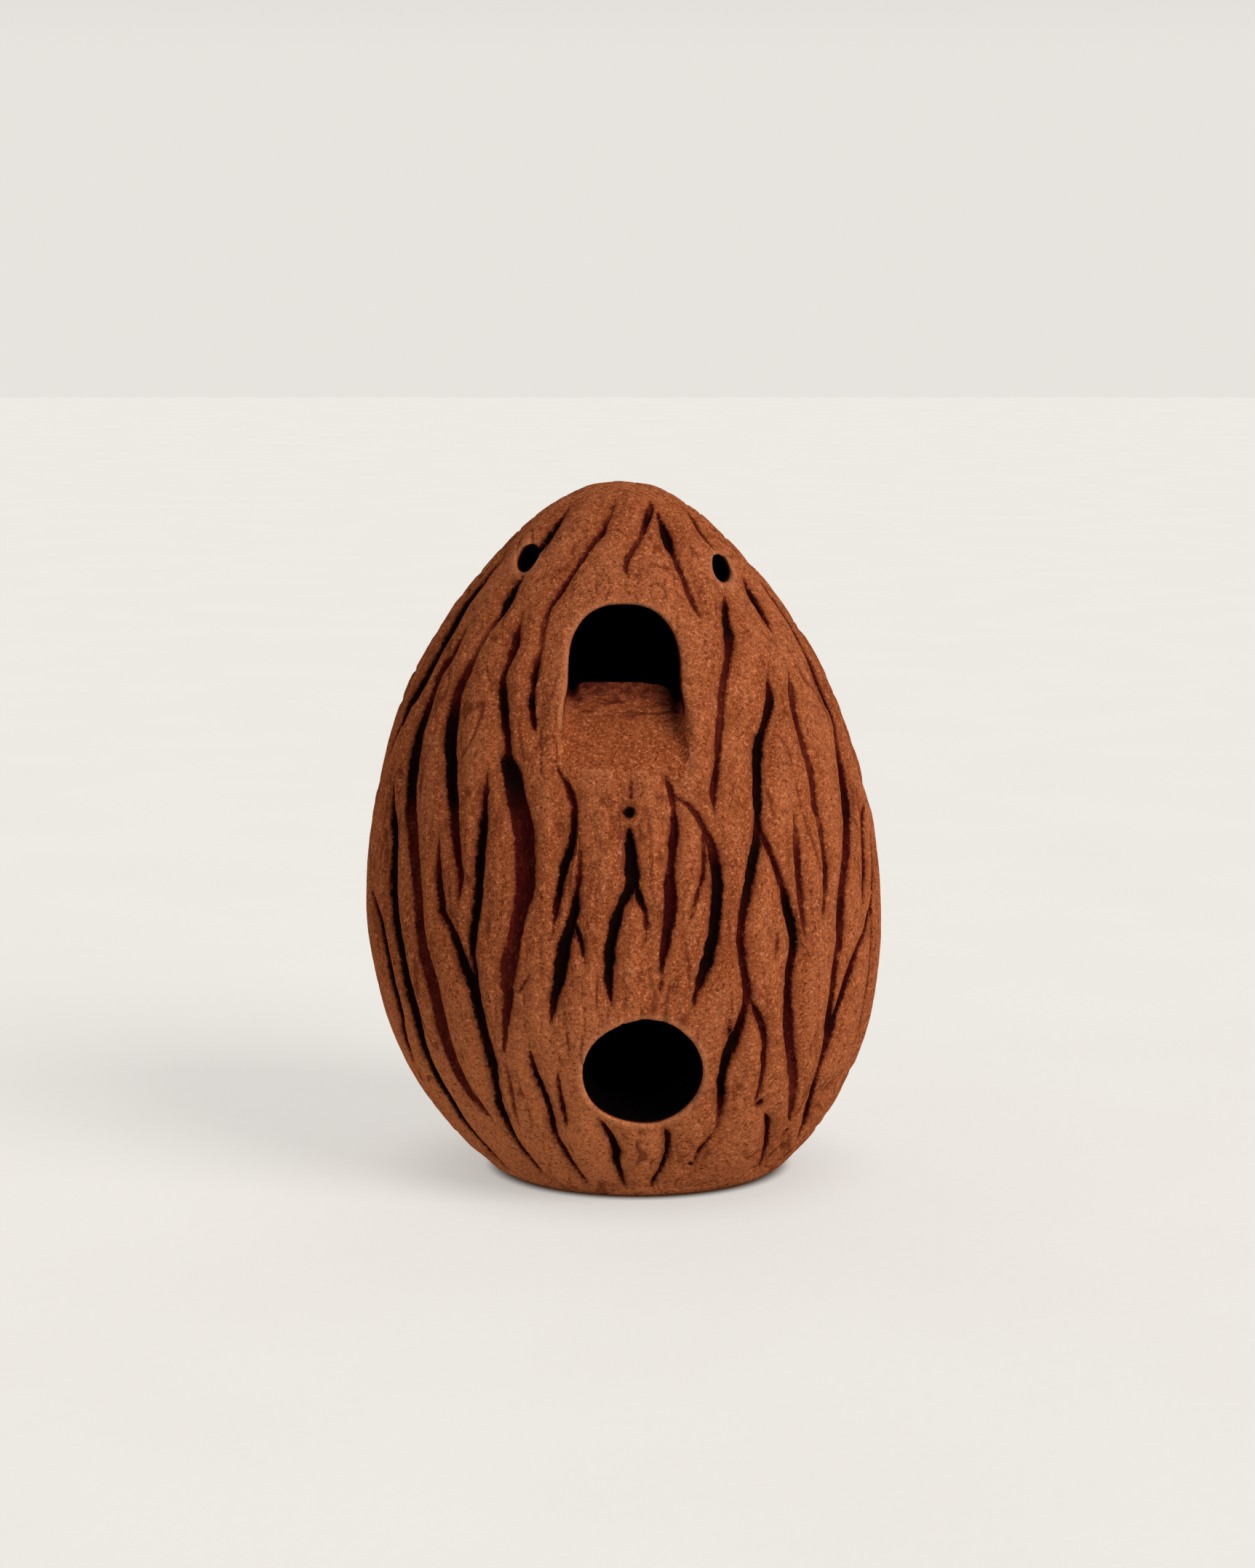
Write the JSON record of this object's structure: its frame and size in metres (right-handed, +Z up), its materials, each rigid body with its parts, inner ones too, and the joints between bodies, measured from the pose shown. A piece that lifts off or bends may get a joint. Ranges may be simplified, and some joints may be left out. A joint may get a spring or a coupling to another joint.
{
  "type": "ocarina",
  "caption": "Egg-shaped clay vessel flute with a bark-like carved skin: crown windway, arched sound window, thumb hole, finger holes and a cord way.",
  "frame": {"origin": "middle of the foot plane, below the widest ring of the body", "axes": "+Z up from the foot to the crown; -Y is the side with the sound window and thumb hole; +Y is the side with the finger holes"},
  "size_m": [0.0503, 0.0502, 0.0672],
  "materials": {
    "base_disc": "unglazed terracotta with a dark oxide stain in the carving",
    "front_shell": "unglazed terracotta with a dark oxide stain in the carving",
    "back_shell": "unglazed terracotta with a dark oxide stain in the carving",
    "labium_ramp": "unglazed terracotta with a dark oxide stain in the carving",
    "windway_roof": "unglazed terracotta with a dark oxide stain in the carving",
    "mouthpiece_block": "unglazed terracotta with a dark oxide stain in the carving",
    "seam_coil": "unglazed terracotta, unstained",
    "base_coil": "unglazed terracotta, unstained"
  },
  "bodies": {
    "root": {"base_disc": "base_disc", "front_shell": "front_shell", "window_cheek_left": "front_shell", "window_cheek_right": "front_shell", "back_shell": "back_shell", "labium_ramp": "labium_ramp", "windway_roof": "windway_roof", "mouthpiece_block": "mouthpiece_block", "seam_coil": "seam_coil", "base_coil": "base_coil"}
  },
  "joints": []
}
